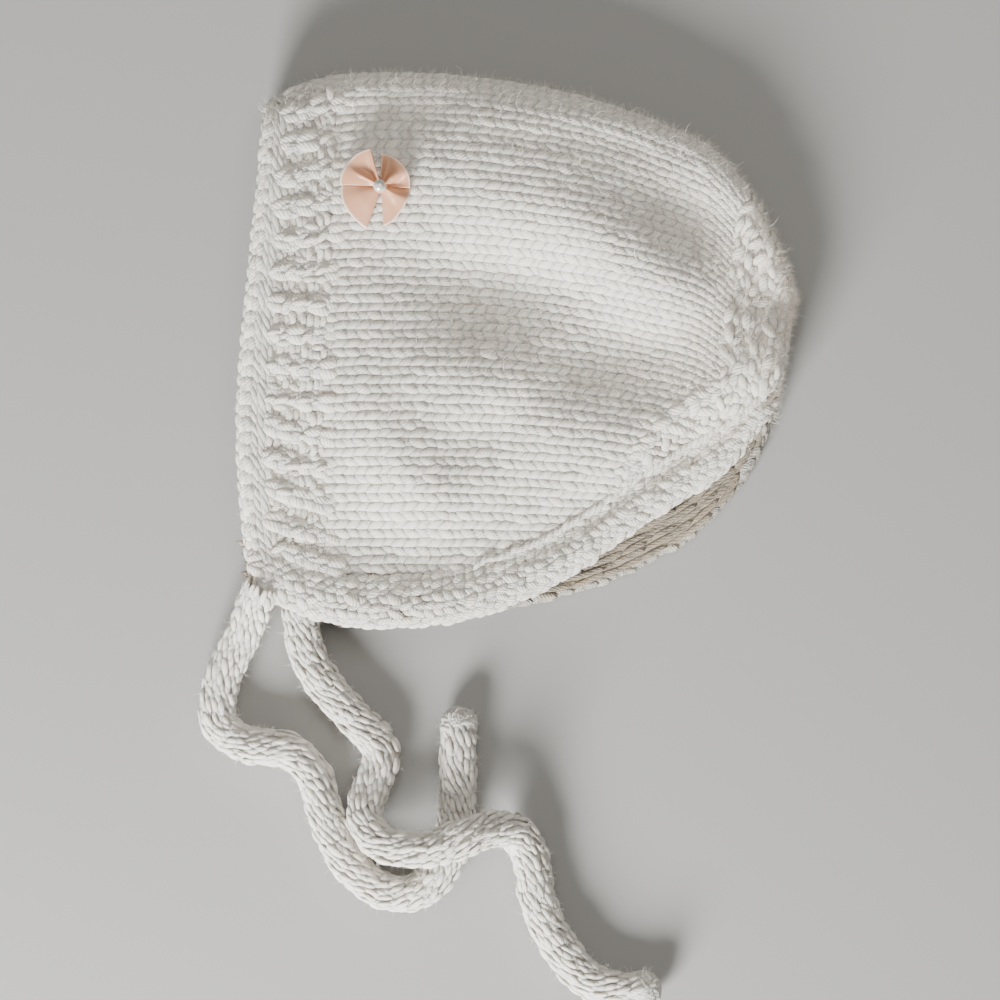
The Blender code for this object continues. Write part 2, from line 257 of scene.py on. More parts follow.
def cloth(along, across, lift=0.0):
    """The middle of the wall, or lift above it. along runs 0 at the face edge to 1 at the back,
    across -1 at the lower layer's neck edge through 0 at the crown to 1 at the upper's."""
    along = np.asarray(along, float)
    across = np.asarray(across, float)
    along, across = np.broadcast_arrays(along, across)
    crown, neck, loft, neck_loft = section_ends(along, across)
    span = np.abs(across)
    width = np.linalg.norm(neck - crown, axis=-1)
    fold = np.minimum(CROWN_FOLD / width, 0.45)
    turned = fold * pi / (2 * (1 - fold) + fold * pi)
    angle = np.minimum(span / turned, 1.0) * pi / 2
    flat = fold + (span - turned) * (1 - fold) / (1 - turned)
    plan = np.where(span < turned, fold * (1 - np.cos(angle)), flat)
    spot = crown + (neck - crown) * plan[..., None]
    bow_out = np.sin(pi * np.clip(plan, 0, 1) ** 1.5) * (1 - blend(along / (2 * FRONT_BAND_SHARE)))
    x = spot[..., 0] - FRONT_BULGE * bow_out
    y = spot[..., 1]
    swell = np.sin(angle) * np.sqrt(np.maximum(1 - closing(along) ** 4, 0.0))
    middle = WALL / 2 + loft / 2
    droop = 1 - (1 - neck_loft / loft) * blend((span - turned) / (1 - turned))
    rise = loft * droop - loft / 2 + fold_lift(x, y) * np.sin(angle)
    z = np.where(across > 0, middle + swell * rise, middle - swell * loft / 2)
    points = np.stack([x, y, z], axis=-1)
    if np.any(lift):
        points = points + outward(along, across) * np.asarray(lift, float)[..., None]
    return points


def outward(along, across):
    """The direction straight out of the cloth."""
    step = 0.004
    along = np.clip(along, step, 1 - step)
    run = cloth(along + step, across) - cloth(along - step, across)
    fall = cloth(along, across + step) - cloth(along, across - step)
    return unit(np.cross(fall, run))


def band_share(along, upper):
    """The share of a section, from the neck edge, that the neck band takes."""
    crown, neck, _, _ = section_ends(along, np.where(upper, 1.0, -1.0) * np.ones_like(along))
    band = NECK_BAND * (1 - NECK_BAND_TAPER * closing(along))
    return band / np.linalg.norm(neck - crown, axis=-1)


# Making meshes


def grid_template(columns, rows, place):
    """A bmesh grid whose corners are set by place(column share, row share), kept as arrays."""
    bm = bmesh.new()
    layer = bm.loops.layers.uv.new("UVMap")
    bmesh.ops.create_grid(bm, x_segments=columns, y_segments=rows, size=0.5)
    for face in bm.faces:
        for loop in face.loops:
            loop[layer].uv = (loop.vert.co.x + 0.5, loop.vert.co.y + 0.5)
    shares = np.array([(v.co.x + 0.5, v.co.y + 0.5) for v in bm.verts])
    for vert, point in zip(bm.verts, place(shares[:, 0], shares[:, 1])):
        vert.co = point
    bmesh.ops.remove_doubles(bm, verts=bm.verts, dist=1e-6)
    bmesh.ops.recalc_face_normals(bm, faces=bm.faces)
    bm.verts.index_update()
    points = np.array([v.co for v in bm.verts])
    faces = [[v.index for v in f.verts] for f in bm.faces]
    uvs = np.array([loop[layer].uv for f in bm.faces for loop in f.loops])
    bm.free()
    return Template(points, faces, uvs)


def strand_template(path, radius, cuts=6, sides=7, plump=0.5, flat=0.8):
    """A short flattened strand of yarn along path(share), closed to a point at both ends."""

    def place(share, turn):
        centre = path(share)
        ahead = unit(path(share + 0.01) - path(share - 0.01))
        side = unit(np.cross(ahead, np.array((0.0, 0.0, 1.0))))
        up = np.cross(side, ahead)
        thick = radius * np.sin(pi * np.clip(share, 0, 1))[:, None] ** plump
        angle = (turn * tau)[:, None]
        return centre + thick * (np.cos(angle) * side + flat * np.sin(angle) * up)

    return grid_template(cuts, sides, place)


def joined(name, template, origins, axes, tone=None):
    """One mesh with a copy of the template at each origin, its axes the rows of each matrix."""
    count = len(origins)
    points = np.einsum("vk,nkj->nvj", template.points, axes) + origins[:, None, :]
    under = np.minimum(points[..., 2], 0.0)
    points[..., 2] += PRESS * np.expm1(under / PRESS) - under
    size = len(template.points)
    loops = np.concatenate([np.array(f) for f in template.faces])
    lengths = np.array([len(f) for f in template.faces])
    starts = np.concatenate([[0], np.cumsum(lengths)[:-1]])
    mesh = bpy.data.meshes.new(name)
    mesh.vertices.add(count * size)
    mesh.vertices.foreach_set("co", points.ravel())
    mesh.loops.add(count * len(loops))
    every = (loops[None, :] + np.arange(count)[:, None] * size).ravel()
    mesh.loops.foreach_set("vertex_index", every.astype(np.int32))
    mesh.polygons.add(count * len(lengths))
    firsts = (starts[None, :] + np.arange(count)[:, None] * len(loops)).ravel()
    mesh.polygons.foreach_set("loop_start", firsts.astype(np.int32))
    mesh.update(calc_edges=True)
    layer = mesh.uv_layers.new(name="UVMap")
    layer.data.foreach_set("uv", np.tile(template.uvs, (count, 1)).ravel())
    tone = rng.random(count) if tone is None else tone
    shade = mesh.attributes.new("tone", "FLOAT", "POINT")
    shade.data.foreach_set("value", np.repeat(tone, size))
    # The crest attribute is each strand's height from its lowest point; the yarn uses it to paint shade
    # low on the strands, in the grooves between them.
    tall = template.points[:, 2]
    tall = (tall - tall.min()) / max(np.ptp(tall), 1e-9)
    crest = mesh.attributes.new("crest", "FLOAT", "POINT")
    crest.data.foreach_set("value", np.tile(tall, count))
    out = mesh.attributes.new("out", "FLOAT_VECTOR", "POINT")
    out.data.foreach_set("vector", np.repeat(axes[:, 2], size, axis=0).ravel())
    mesh.shade_smooth()
    return mesh


def wall_mesh(name, columns, rows, place):
    """A smooth sheet set by place(column share, row share)."""
    template = grid_template(columns, rows, place)
    return joined(name, template, np.zeros((1, 3)), np.eye(3)[None])


def finished_mesh(name, bm):
    """A smooth mesh of the bmesh, which is freed."""
    mesh = bpy.data.meshes.new(name)
    bm.to_mesh(mesh)
    bm.free()
    mesh.shade_smooth()
    return mesh


def merged_mesh(name, meshes):
    """One mesh of several."""
    bm = bmesh.new()
    for mesh in meshes:
        bm.from_mesh(mesh)
    return finished_mesh(name, bm)


def add_piece(name, mesh, mat, nodes=()):
    """A piece of the bonnet, in place of the nodes if any."""
    obj = bpy.data.objects.new(name, mesh)
    obj.data.materials.append(mat)
    bpy.context.scene.collection.objects.link(obj)
    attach(obj, "root")
    if nodes:
        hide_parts(*nodes)
    return obj


# Materials


def new_material(name, values):
    """A material with its shader's values set, its nodes and links, and the shader."""
    mat = bpy.data.materials.new(name)
    mat.use_nodes = True
    nodes, links = mat.node_tree.nodes, mat.node_tree.links
    shader = nodes["Principled BSDF"]
    for socket, value in values.items():
        shader.inputs[socket].default_value = value
    return mat, nodes, links, shader


def math_node(nodes, links, operation, first, second=0.0):
    """The output of a math node on two numbers or sockets."""
    node = nodes.new("ShaderNodeMath")
    node.operation = operation
    for socket, value in zip(node.inputs, (first, second)):
        if isinstance(value, (int, float)):
            socket.default_value = value
        else:
            links.new(value, socket)
    return node.outputs[0]


def noise(nodes, links, vector, scale, detail, roughness=0.5):
    """A noise texture read at a vector."""
    node = nodes.new("ShaderNodeTexNoise")
    node.inputs["Scale"].default_value = scale
    node.inputs["Detail"].default_value = detail
    node.inputs["Roughness"].default_value = roughness
    links.new(vector, node.inputs["Vector"])
    return node.outputs["Fac"]


def attribute(nodes, name, output="Fac"):
    """A mesh attribute's value."""
    node = nodes.new("ShaderNodeAttribute")
    node.attribute_name = name
    return node.outputs[output]


def colour_ramp(nodes, links, value, *stops):
    """The colour at a value between two stops, each a position and a colour."""
    node = nodes.new("ShaderNodeValToRGB")
    for element, (position, colour) in zip(node.color_ramp.elements, stops):
        element.position = position
        element.color = (*colour, 1.0)
    links.new(value, node.inputs["Fac"])
    return node.outputs["Color"]


def add_bump(nodes, links, shader, height, strength, distance):
    """Bumps of a height on the shader's normal."""
    node = nodes.new("ShaderNodeBump")
    node.inputs["Strength"].default_value = strength
    node.inputs["Distance"].default_value = distance
    links.new(height, node.inputs["Height"])
    links.new(node.outputs["Normal"], shader.inputs["Normal"])
    return node


def uv_map(nodes):
    """The UVMap layer's coordinates."""
    node = nodes.new("ShaderNodeUVMap")
    node.uv_map = "UVMap"
    return node.outputs["UV"]


def soften_normal(nodes, links, bump, share):
    """Turn the normal under the bumps towards the cloth's own, as fuzzy wool scatters light."""
    to_world = nodes.new("ShaderNodeVectorTransform")
    to_world.vector_type = "NORMAL"
    to_world.convert_from = "OBJECT"
    to_world.convert_to = "WORLD"
    links.new(attribute(nodes, "out", "Vector"), to_world.inputs["Vector"])
    softer = nodes.new("ShaderNodeMix")
    softer.data_type = "VECTOR"
    softer.inputs["Factor"].default_value = share
    links.new(nodes.new("ShaderNodeNewGeometry").outputs["Normal"], softer.inputs["A"])
    links.new(to_world.outputs["Vector"], softer.inputs["B"])
    links.new(softer.outputs["Result"], bump.inputs["Normal"])


def yarn_material(name="wool_yarn", tint=(1.0, 1.0, 1.0)):
    """Fuzzy white yarn: plies twisted round the strand, fine fibres along it, a soft sheen, and painted
    shade that darkens and warms each strand towards its underside.
    """
    existing = bpy.data.materials.get(name)
    if existing:
        return existing
    colour = Matrix.Diagonal(tint) @ Vector(bpy.context.scene.bonnet_colours.yarn)
    values = {
        "Roughness": 0.78,
        "Sheen Weight": 0.35,
        "Sheen Roughness": 0.45,
        "Subsurface Weight": 0.5,
        "Subsurface Radius": (0.0016, 0.0014, 0.0012),
        "Subsurface Scale": 1.0,
    }
    mat, nodes, links, shader = new_material(name, values)

    def maths(operation, first, second=0.0):
        return math_node(nodes, links, operation, first, second)

    split = nodes.new("ShaderNodeSeparateXYZ")
    links.new(uv_map(nodes), split.inputs[0])
    tone = attribute(nodes, "tone")
    phase = maths("ADD", maths("MULTIPLY", split.outputs["X"], YARN_TWIST), split.outputs["Y"])
    ply = maths("ABSOLUTE", maths("SINE", maths("MULTIPLY", phase, YARN_PLIES * pi)))
    streak = nodes.new("ShaderNodeCombineXYZ")
    links.new(maths("MULTIPLY", split.outputs["X"], 3.0), streak.inputs["X"])
    links.new(maths("MULTIPLY", phase, 26.0), streak.inputs["Y"])
    links.new(maths("MULTIPLY", tone, 40.0), streak.inputs["Z"])
    fibre = noise(nodes, links, streak.outputs[0], 1.0, 3.0, 0.7)
    height = maths("ADD", maths("MULTIPLY", ply, 0.7), maths("MULTIPLY", fibre, 1.5))
    bump = add_bump(nodes, links, shader, height, 0.75, 0.0004)
    soften_normal(nodes, links, bump, 0.42)
    mixed = maths("ADD", maths("MULTIPLY", tone, 0.25), maths("MULTIPLY", fibre, 0.75))
    shade = colour_ramp(nodes, links, mixed, (0.15, colour * 0.80), (0.75, colour * 1.10))
    # Painted shade: the base colour is darkened and warmed towards the bottom of each strand, by its
    # crest height.
    deep = nodes.new("ShaderNodeMix")
    deep.data_type = "RGBA"
    deep.blend_type = "MULTIPLY"
    deep.inputs["Factor"].default_value = 1.0
    crest = attribute(nodes, "crest")
    painted_groove_shade = colour_ramp(nodes, links, crest, (0.15, (0.93, 0.90, 0.85)), (0.75, (1.0, 1.0, 1.0)))
    links.new(shade, deep.inputs["A"])
    links.new(painted_groove_shade, deep.inputs["B"])
    links.new(deep.outputs["Result"], shader.inputs["Base Color"])
    return mat


def backing_material(name="wool_depth", tint=(1.0, 1.0, 1.0)):
    """The matt yarn seen deep between the stitches or from inside."""
    existing = bpy.data.materials.get(name)
    if existing:
        return existing
    colour = Matrix.Diagonal(tint) @ Vector(bpy.context.scene.bonnet_colours.yarn)
    mat, nodes, links, shader = new_material(name, {"Roughness": 0.9, "Sheen Weight": 0.2})
    place = nodes.new("ShaderNodeTexCoord")
    grain = noise(nodes, links, place.outputs["Object"], 900.0, 4.0)
    shade = colour_ramp(nodes, links, grain, (0.0, colour * 0.80), (1.0, colour))
    links.new(shade, shader.inputs["Base Color"])
    add_bump(nodes, links, shader, grain, 0.5, 0.0004)
    return mat


def fibre_material():
    """Single loose fibres, pale and glossy."""
    existing = bpy.data.materials.get("wool_fibre")
    if existing:
        return existing
    colour = Vector(bpy.context.scene.bonnet_colours.yarn)
    mat, nodes, links, shader = new_material("wool_fibre", {"Roughness": 0.55, "Sheen Weight": 0.4})
    tone = attribute(nodes, "tone")
    shade = colour_ramp(nodes, links, tone, (0.0, colour * 0.95), (1.0, colour * 1.18))
    links.new(shade, shader.inputs["Base Color"])
    return mat


# Stitches


def knit_leg(side, row, wale, yarn, reach=2.1, inner=0.10, outer=0.40, rise=0.10, cuts=6, sides=7):
    """One leg of a knit stitch, from deep under the stitch before it up and out to the side."""

    def path(share):
        x = (share - 0.5) * row * reach
        y = side * wale * (inner + (outer - inner) * share)
        z = yarn * (rise * np.sin(pi * np.clip(share, 0, 1)) - rise / 2)
        return np.stack([x, y, z], axis=-1)

    return strand_template(path, yarn * 0.56, cuts, sides, 0.40, 0.62)


def purl_bump(row, wale, yarn):
    """The head of a purl stitch, an arc laid across the column."""

    def path(share):
        x = row * (0.35 * np.cos(pi * (share - 0.5)) - 0.15)
        y = (share - 0.5) * wale * 1.10
        z = yarn * (0.35 * np.sin(pi * np.clip(share, 0, 1)) - 0.15)
        return np.stack([x, y, z], axis=-1)

    return strand_template(path, yarn * 0.48)


def slant(length, lean, yarn, bow=0.25, cuts=7, sides=7, plump=0.55, flat=0.8):
    """A plump strand lying along x and leaning to y, for chains along an edge."""

    def path(share):
        x = (share - 0.5) * length
        y = (share - 0.5) * length * lean
        z = yarn * (bow * np.sin(pi * np.clip(share, 0, 1)) - bow / 2)
        return np.stack([x, y, z], axis=-1)

    return strand_template(path, yarn * 0.5, cuts, sides, plump, flat)


def together(*parts):
    """Several templates as one."""
    faces = []
    start = 0
    for part in parts:
        faces += [[i + start for i in f] for f in part.faces]
        start += len(part.points)
    points = np.vstack([p.points for p in parts])
    return Template(points, faces, np.vstack([p.uvs for p in parts]))


def knit_stitch(row, wale, yarn, **shape):
    """Both legs of a knit stitch."""
    return together(knit_leg(-1, row, wale, yarn, **shape), knit_leg(1, row, wale, yarn, **shape))


def lay_frames(points, aheads, asides, up, wobble=0.04):
    """Origins and axes for stitches that lean a little this way and that."""
    up = unit(up - unit(aheads) * np.sum(up * unit(aheads), axis=-1, keepdims=True))
    grow = 1 + wobble * np.clip(rng.standard_normal((len(points), 1)), -1.5, 1.5)
    swing = 0.04 * rng.standard_normal((len(points), 1))
    axes = np.stack(
        [aheads * grow + asides * swing * 0.5, asides * grow - aheads * swing, up * grow], axis=-2
    )
    return points + 0.00012 * rng.standard_normal(points.shape), axes


def strand_frames(points, ahead, up, wobble=0.05):
    """Origins and axes for single strands lying along ahead."""
    ahead = unit(ahead)
    up = unit(up - ahead * np.sum(up * ahead, axis=-1, keepdims=True))
    aside = np.cross(up, ahead)
    turn = 1.2 * wobble * rng.standard_normal(len(points))[:, None]
    grow = 1 + wobble * rng.standard_normal(len(points))[:, None]
    axes = np.stack([(ahead + aside * turn) * grow, (aside - ahead * turn) * grow, up * grow], axis=-2)
    return points, axes


def even_stations(first, last, spacing, across):
    """Places front to back from first to last, evenly spaced along one line of the cloth."""
    fine = np.linspace(first, last, 400)
    points = cloth(fine, np.full_like(fine, across))
    run = run_along(points)
    count = max(round(run[-1] / spacing), 1)
    return np.interp((np.arange(count) + 0.5) / count * run[-1], run, fine)


def even_across(along, first, last, spacing):
    """Places from first to last round one section, evenly spaced."""
    fine = np.linspace(first, last, 600)
    points = cloth(np.full_like(fine, along), fine)
    run = run_along(points)
    count = max(round(run[-1] / spacing), 1)
    return np.interp((np.arange(count) + 0.5) / count * run[-1], run, fine)


def run_along(points):
    """How far along a line each of its points lies."""
    return np.concatenate([[0], np.cumsum(np.linalg.norm(np.diff(points, axis=0), axis=1))])


def loose_spots(run, places, pitch):
    """Places at a pitch along a line, starting anywhere within the pitch."""
    count = round(run[-1] / pitch)
    return np.interp((np.arange(count) + rng.uniform(0.3, 0.7)) / count * run[-1], run, places)


def add_wall(obj, thickness):
    """Give a sheet its thickness, half on each side."""
    wall = obj.modifiers.new("Wall", "SOLIDIFY")
    wall.thickness = thickness
    wall.offset = 0.0
    wall.use_even_offset = True


def sheet(name, columns, rows, place, nodes):
    """The cloth under the stitches, seen between them and from inside."""
    mesh = wall_mesh(name, columns, rows, place)
    add_wall(add_piece(name, mesh, backing_material(), nodes), SHEET)


# Body


def body_columns(upper, alongs, count):
    """Where each column of stitches crosses each row: columns near the crown follow it, those
    near the neck run straight and are cut off by the band."""
    crown, neck, _, _ = section_ends(alongs, np.full_like(alongs, 1.0 if upper else -1.0))
    share = ((np.arange(count) + 0.5) / count)[None, :]
    top = crown[:, 1].max()
    crown_y = crown[:, 1][:, None]
    y = top * (1 - share) - share * HEIGHT / 2 - (top - crown_y) * (1 - share) ** 1.3
    return (crown_y - y) / (crown_y - neck[:, 1][:, None])


def body_stitches(upper):
    """Frames of the body's stitches, evenly spaced along each column."""
    sizes = bpy.context.scene.bonnet_sizes
    side = 1.0 if upper else -1.0
    fine = np.linspace(FRONT_BAND_SHARE, GATHER_SHARE, 160)
    round_section = cloth(np.full(200, 0.3), side * np.linspace(0, 1, 200))
    length = run_along(round_section)[-1]
    shares = body_columns(upper, fine, round(length / sizes.wale))
    alongs = np.broadcast_to(fine[:, None], shares.shape)
    points = cloth(alongs, side * shares, np.full(shares.shape, WALL / 2 - sizes.yarn * 0.54))
    aside = np.gradient(points, axis=1) / sizes.wale
    aside = unit(aside) * np.clip(np.linalg.norm(aside, axis=-1, keepdims=True), 0.88, 1.15)
    out = outward(alongs, side * shares)
    room = 1 - band_share(fine, np.full(fine.shape, upper)) + 0.008
    pucker = pucker_share(fine, upper)
    room = room - np.where(pucker > 0.03, pucker, 0.0)
    found = []
    for column in range(shares.shape[1]):
        path = points[:, column]
        run = run_along(path)
        count = round(run[-1] / sizes.row)
        spots = (np.arange(count) + 0.5) / count * run[-1]
        kept = np.interp(spots, run, shares[:, column] - room) < 0
        across = np.hstack([path, np.gradient(path, run, axis=0), aside[:, column], out[:, column]])
        found.append(np.stack([np.interp(spots[kept], run, line) for line in across.T], axis=-1))
    found = np.vstack(found)
    return lay_frames(found[:, 0:3], found[:, 3:6], found[:, 6:9], found[:, 9:12])


def pucker_share(along, upper):
    """The share of a section, above the neck band, that is knitted in coarse puckered loops."""
    crown, neck, _, _ = section_ends(along, np.where(upper, 1.0, -1.0) * np.ones_like(along))
    width = 0.0125 * blend((neck[..., 0] - 0.018) / 0.030)
    return width / np.linalg.norm(neck - crown, axis=-1)


class BONNET_OT_body(bpy.types.Operator):
    """Knit the smooth body of the bonnet on both layers"""

    bl_idname = "bonnet.body"
    bl_label = "Body"

    def execute(self, context):
        sizes = context.scene.bonnet_sizes
        fine = knit_stitch(sizes.row, sizes.wale, sizes.yarn)
        plain = knit_stitch(sizes.row, sizes.wale, sizes.yarn, cuts=5, sides=6)
        for name, stitch, upper in (("body_near_layer", fine, True), ("body_far_layer", plain, False)):
            add_piece(name, joined(name, stitch, *body_stitches(upper)), yarn_material())

        def place(column, row):
            across = 2 * row - 1
            along = FRONT_BAND_SHARE + (GATHER_SHARE - FRONT_BAND_SHARE) * column
            reach = 1 - band_share(along, across > 0)
            return cloth(along, across * reach, np.full_like(along, -0.0003))

        sheet("body_cloth", 60, 120, place, ["crown_body"])
        return {"FINISHED"}


# Face band


# Rows of the chained edge: place front to back, lift, lean, pitch and length of the strands, and
# their thickness as a share of the yarn's
EdgeRow = namedtuple("EdgeRow", "along lift lean pitch length thick")
EDGE_ROWS = (
    EdgeRow(0.025, 0.0008, 0.38, 0.0030, 0.0090, 0.72),
    EdgeRow(0.018, 0.0008, 0.42, 0.0032, 0.0090, 0.72),
    EdgeRow(0.032, 0.0003, 0.30, 0.0040, 0.0070, 0.80),
    EdgeRow(0.011, 0.0001, 0.12, 0.0040, 0.0066, 1.20),
    EdgeRow(0.005, -0.0004, -0.10, 0.0040, 0.0064, 1.25),
    EdgeRow(0.001, -0.0012, 0.10, 0.0040, 0.0066, 1.10),
)
RIBS_FROM = 0.030  # where the ribs set in behind the chained edge


def rib_count():
    """How many ribs lie side by side from neck edge to neck edge."""
    return round(2 * HEIGHT * 0.9 / bpy.context.scene.bonnet_sizes.rib_pitch)


def rib_lift(along, turn):
    """The height of the face band's ribs, which flatten into the body."""
    flatten = blend((1.15 * FRONT_BAND_SHARE - along) / (0.5 * FRONT_BAND_SHARE))
    return bpy.context.scene.bonnet_sizes.rib_height * np.cos(tau * rib_count() * turn) * flatten


def rib_place(along, turn, lift):
    """A place on the face band: turn runs 0 at the lower neck side to 1 at the upper one."""
    across = 2 * turn - 1
    reach = 1 - band_share(along, across > 0)
    return cloth(along, across * reach, lift + rib_lift(along, turn))


def rib_strands(lines, shift, lift, template, unruly):
    """A strand in each of the lines on every rib, at a share of the rib pitch."""
    ribs = rib_count()
    turns = np.clip((np.arange(ribs + 1 - (shift > 0.2)) + shift) / ribs, 0.003, 0.997)
    along, turn = np.meshgrid(lines, turns, indexing="ij")
    points = rib_place(along, turn, np.full(along.shape, WALL / 2 + lift))
    up = outward(along, 2 * turn - 1)
    ahead = unit(np.gradient(points, axis=0))
    aside = np.cross(up, unit(ahead))
    origins = points + 0.0004 * rng.standard_normal(points.shape)
    grow = 1 + 0.10 * rng.standard_normal(points.shape[:2] + (1,))
    swing = unruly * rng.standard_normal(points.shape[:2] + (1,))
    turned = (ahead + aside * swing, aside - ahead * swing, up)
    axes = np.stack([axis * grow for axis in turned], axis=-2)
    return joined("ribs", template, origins.reshape(-1, 3), axes.reshape(-1, 3, 3))


def edge_strands(row, yarn):
    """One row of the chained edge."""
    across = even_across(row.along, -0.99, 0.99, row.pitch)
    line = np.full_like(across, row.along)
    wave = 0.25 * rib_lift(line, (across + 1) / 2)
    points = cloth(line, across, row.lift + wave)
    frames = strand_frames(points, np.gradient(points, axis=0), outward(line, across), 0.08)
    return joined("chain", slant(row.length, row.lean, yarn * row.thick, 0.25, 6, 6), *frames)


class BONNET_OT_face_band(bpy.types.Operator):
    """Knit the ribbed band and the chained edge round the face"""

    bl_idname = "bonnet.face_band"
    bl_label = "Face band"

    def execute(self, context):
        sizes = context.scene.bonnet_sizes
        yarn = sizes.yarn
        rows = even_stations(RIBS_FROM, FRONT_BAND_SHARE, sizes.row, 0.5)
        longer = np.append(rows, 2 * rows[-1] - rows[-2])
        finer = even_stations(RIBS_FROM, FRONT_BAND_SHARE, sizes.row * 0.55, 0.5)
        crest = knit_stitch(
            sizes.row, sizes.rib_pitch * 0.52, yarn * 1.2, inner=0.05, outer=0.38, rise=0.15
        )
        loop = slant(0.0048, 0.55, yarn * 0.72, 0.5, 5, 6)
        left, right = (slant(0.0056, lean, yarn * 0.9, 0.3, 5, 6) for lean in (0.20, -0.20))
        purl = purl_bump(sizes.row, sizes.rib_pitch * 0.46, yarn * 0.85)
        pieces = [
            rib_strands(longer, 0.0, yarn * -0.50, crest, 0.10),
            rib_strands(rows, 0.02, yarn * -0.30, loop, 0.25),
            rib_strands(rows, 0.31, yarn * -0.50, left, 0.10),
            rib_strands(rows, 0.69, yarn * -0.50, right, 0.10),
            rib_strands(finer, 0.50, yarn * -0.34, purl, 0.10),
        ]
        add_piece("face_band_ribs", merged_mesh("face_band_ribs", pieces), yarn_material())
        chains = [edge_strands(row, yarn) for row in EDGE_ROWS]
        add_piece("face_edge_chain", merged_mesh("face_edge_chain", chains), yarn_material())

        def place(column, row):
            along = FRONT_BAND_SHARE * column
            return rib_place(along, row, np.full_like(along, 0.0001))

        sheet("face_band_cloth", 10, 248, place, ["front_rib_band"])
        return {"FINISHED"}


# Neck band


# Rows of the neck band: share of the way to its edge, lift, lean, pitch and length of the strands,
# their thickness as a share of the yarn's, and the least band width that has room for the row
BandRow = namedtuple("BandRow", "share lift lean pitch length thick least")
BAND_ROWS = (
    BandRow(0.02, -0.0006, 1.10, 0.0072, 0.0044, 0.80, 0.0),
    BandRow(0.13, -0.0004, 0.55, 0.0032, 0.0056, 1.05, 0.0095),
    BandRow(0.27, -0.0003, 0.45, 0.0032, 0.0056, 1.05, 0.0095),
    BandRow(0.41, -0.0002, 0.55, 0.0032, 0.0056, 1.05, 0.0080),
    BandRow(0.55, -0.0001, -0.50, 0.0032, 0.0056, 1.05, 0.0080),
    BandRow(0.69, 0.0000, 0.55, 0.0032, 0.0056, 1.05, 0.0080),
    BandRow(0.81, 0.0000, -0.50, 0.0032, 0.0056, 1.05, 0.0060),
    BandRow(0.92, -0.0001, 0.45, 0.0032, 0.0058, 1.00, 0.0),
    BandRow(0.985, -0.0008, 0.30, 0.0034, 0.0058, 1.00, 0.0),
)
ROPE_FROM = 0.30  # where the fine rope over the picked-up row sets in
ROPE_PITCH = 0.0019
INNER_ROWS = (0.06, 0.20, 0.34, 0.48, 0.62, 0.76, 0.90)  # shares of the way to the band's edge
INNER_LIFT = -0.00102  # to the inner side of the band's cloth
PAINTED_SHADE_TINT = (0.40, 0.352, 0.29)  # painted shade: a darker tint of the yarn inside and of the neck band's cloth, where little light comes

# Rows of puckered loops: share of the way to the neck band, lean, pitch and length
PuckerRow = namedtuple("PuckerRow", "share lean pitch length")
PUCKER_ROWS = (
    PuckerRow(0.04, -0.45, 0.0030, 0.0064),
    PuckerRow(0.24, 0.70, 0.0036, 0.0054),
    PuckerRow(0.44, -0.80, 0.0034, 0.0054),
    PuckerRow(0.64, 0.80, 0.0034, 0.0054),
    PuckerRow(0.84, -0.60, 0.0036, 0.0056),
)


def band_place(along, share, side, lift):
    """A place on the neck band: share runs 0 at the picked-up row to 1 at the edge. The upper
    band is puffed up, towards its edge where it runs to the back."""
    reach = 1 - band_share(along, side > 0) * (1 - share)
    swell = np.clip(share, 0, 1) ** (1 + 0.9 * blend((along - 0.30) / 0.20))
    puff = 0.0013 * (side > 0) * np.sin(pi * swell)
    dip = 0.0011 * (side > 0) * blend((along - 0.32) / 0.12) * np.sin(pi * np.clip(share / 0.5, 0, 1))
    return cloth(along, side * np.minimum(reach, 0.999), lift + puff - dip)


def band_frames(along, share, side, lift):
    """Frames on the neck band: x to the edge, y along it."""
    step = 0.02
    points = band_place(along, share, side, lift)
    ahead, behind = (band_place(along, share + s, side, lift) for s in (step, -step))
    toward = unit(ahead - behind)
    up = outward(along, side * 0.97 * np.ones_like(along))
    aside = unit(np.cross(up, toward))
    up = np.cross(toward, aside)
    grow = 1 + 0.06 * rng.standard_normal(points.shape[:-1] + (1,))
    return points + 0.0002 * rng.standard_normal(points.shape), np.stack(
        [toward * grow, aside * grow, up * grow], axis=-2
    )


def band_line(side):
    """Places along the middle of one layer's neck band, and how far each lies along it."""
    fine = np.linspace(0.004, 0.990, 600)
    return fine, run_along(band_place(fine, 0.5, side, 0.0))


def band_strands(side, yarn):
    """The rows of one layer's neck band, and the fine rope over its picked-up row."""
    meshes = []
    fine, run = band_line(side)
    for row in BAND_ROWS:
        spots = loose_spots(run, fine, row.pitch)
        spots = spots[NECK_BAND * (1 - NECK_BAND_TAPER * closing(spots)) > row.least]
        lean = row.lean * 0.4 if side < 0 and row.share > 0.8 else row.lean
        points, axes = band_frames(spots, np.full_like(spots, row.share), side, row.lift)
        frames = strand_frames(points, np.gradient(points, axis=0), axes[:, 2], 0.12)
        meshes.append(joined("row", slant(row.length, lean, yarn * row.thick, flat=0.62), *frames))
    spots = np.interp(np.arange(0.0, run[-1], ROPE_PITCH), run, fine)
    spots = spots[spots > ROPE_FROM]
    points, axes = band_frames(spots, np.full_like(spots, 0.04), side, 0.0012)
    frames = strand_frames(points, np.gradient(points, axis=0), axes[:, 2], 0.05)
    meshes.append(joined("rope", slant(0.0046, 0.42, yarn * 0.70, 0.25, 5, 6), *frames))
    return meshes


def inner_strands(yarn):
    """The rows on the inner side of the lower layer's band, seen past the upper layer."""
    meshes = []
    fine, run = band_line(-1.0)
    strand = slant(0.0120, 0.0, yarn * 0.75, 0.0, 6, 6, 0.25, 0.4)
    for share in INNER_ROWS:
        spots = loose_spots(run, fine, 0.0034)
        points, axes = band_frames(spots, np.full_like(spots, share), -1.0, INNER_LIFT)
        frames = strand_frames(points, np.gradient(points, axis=0), -axes[:, 2], 0.03)
        meshes.append(joined("row", strand, *frames))
    return meshes


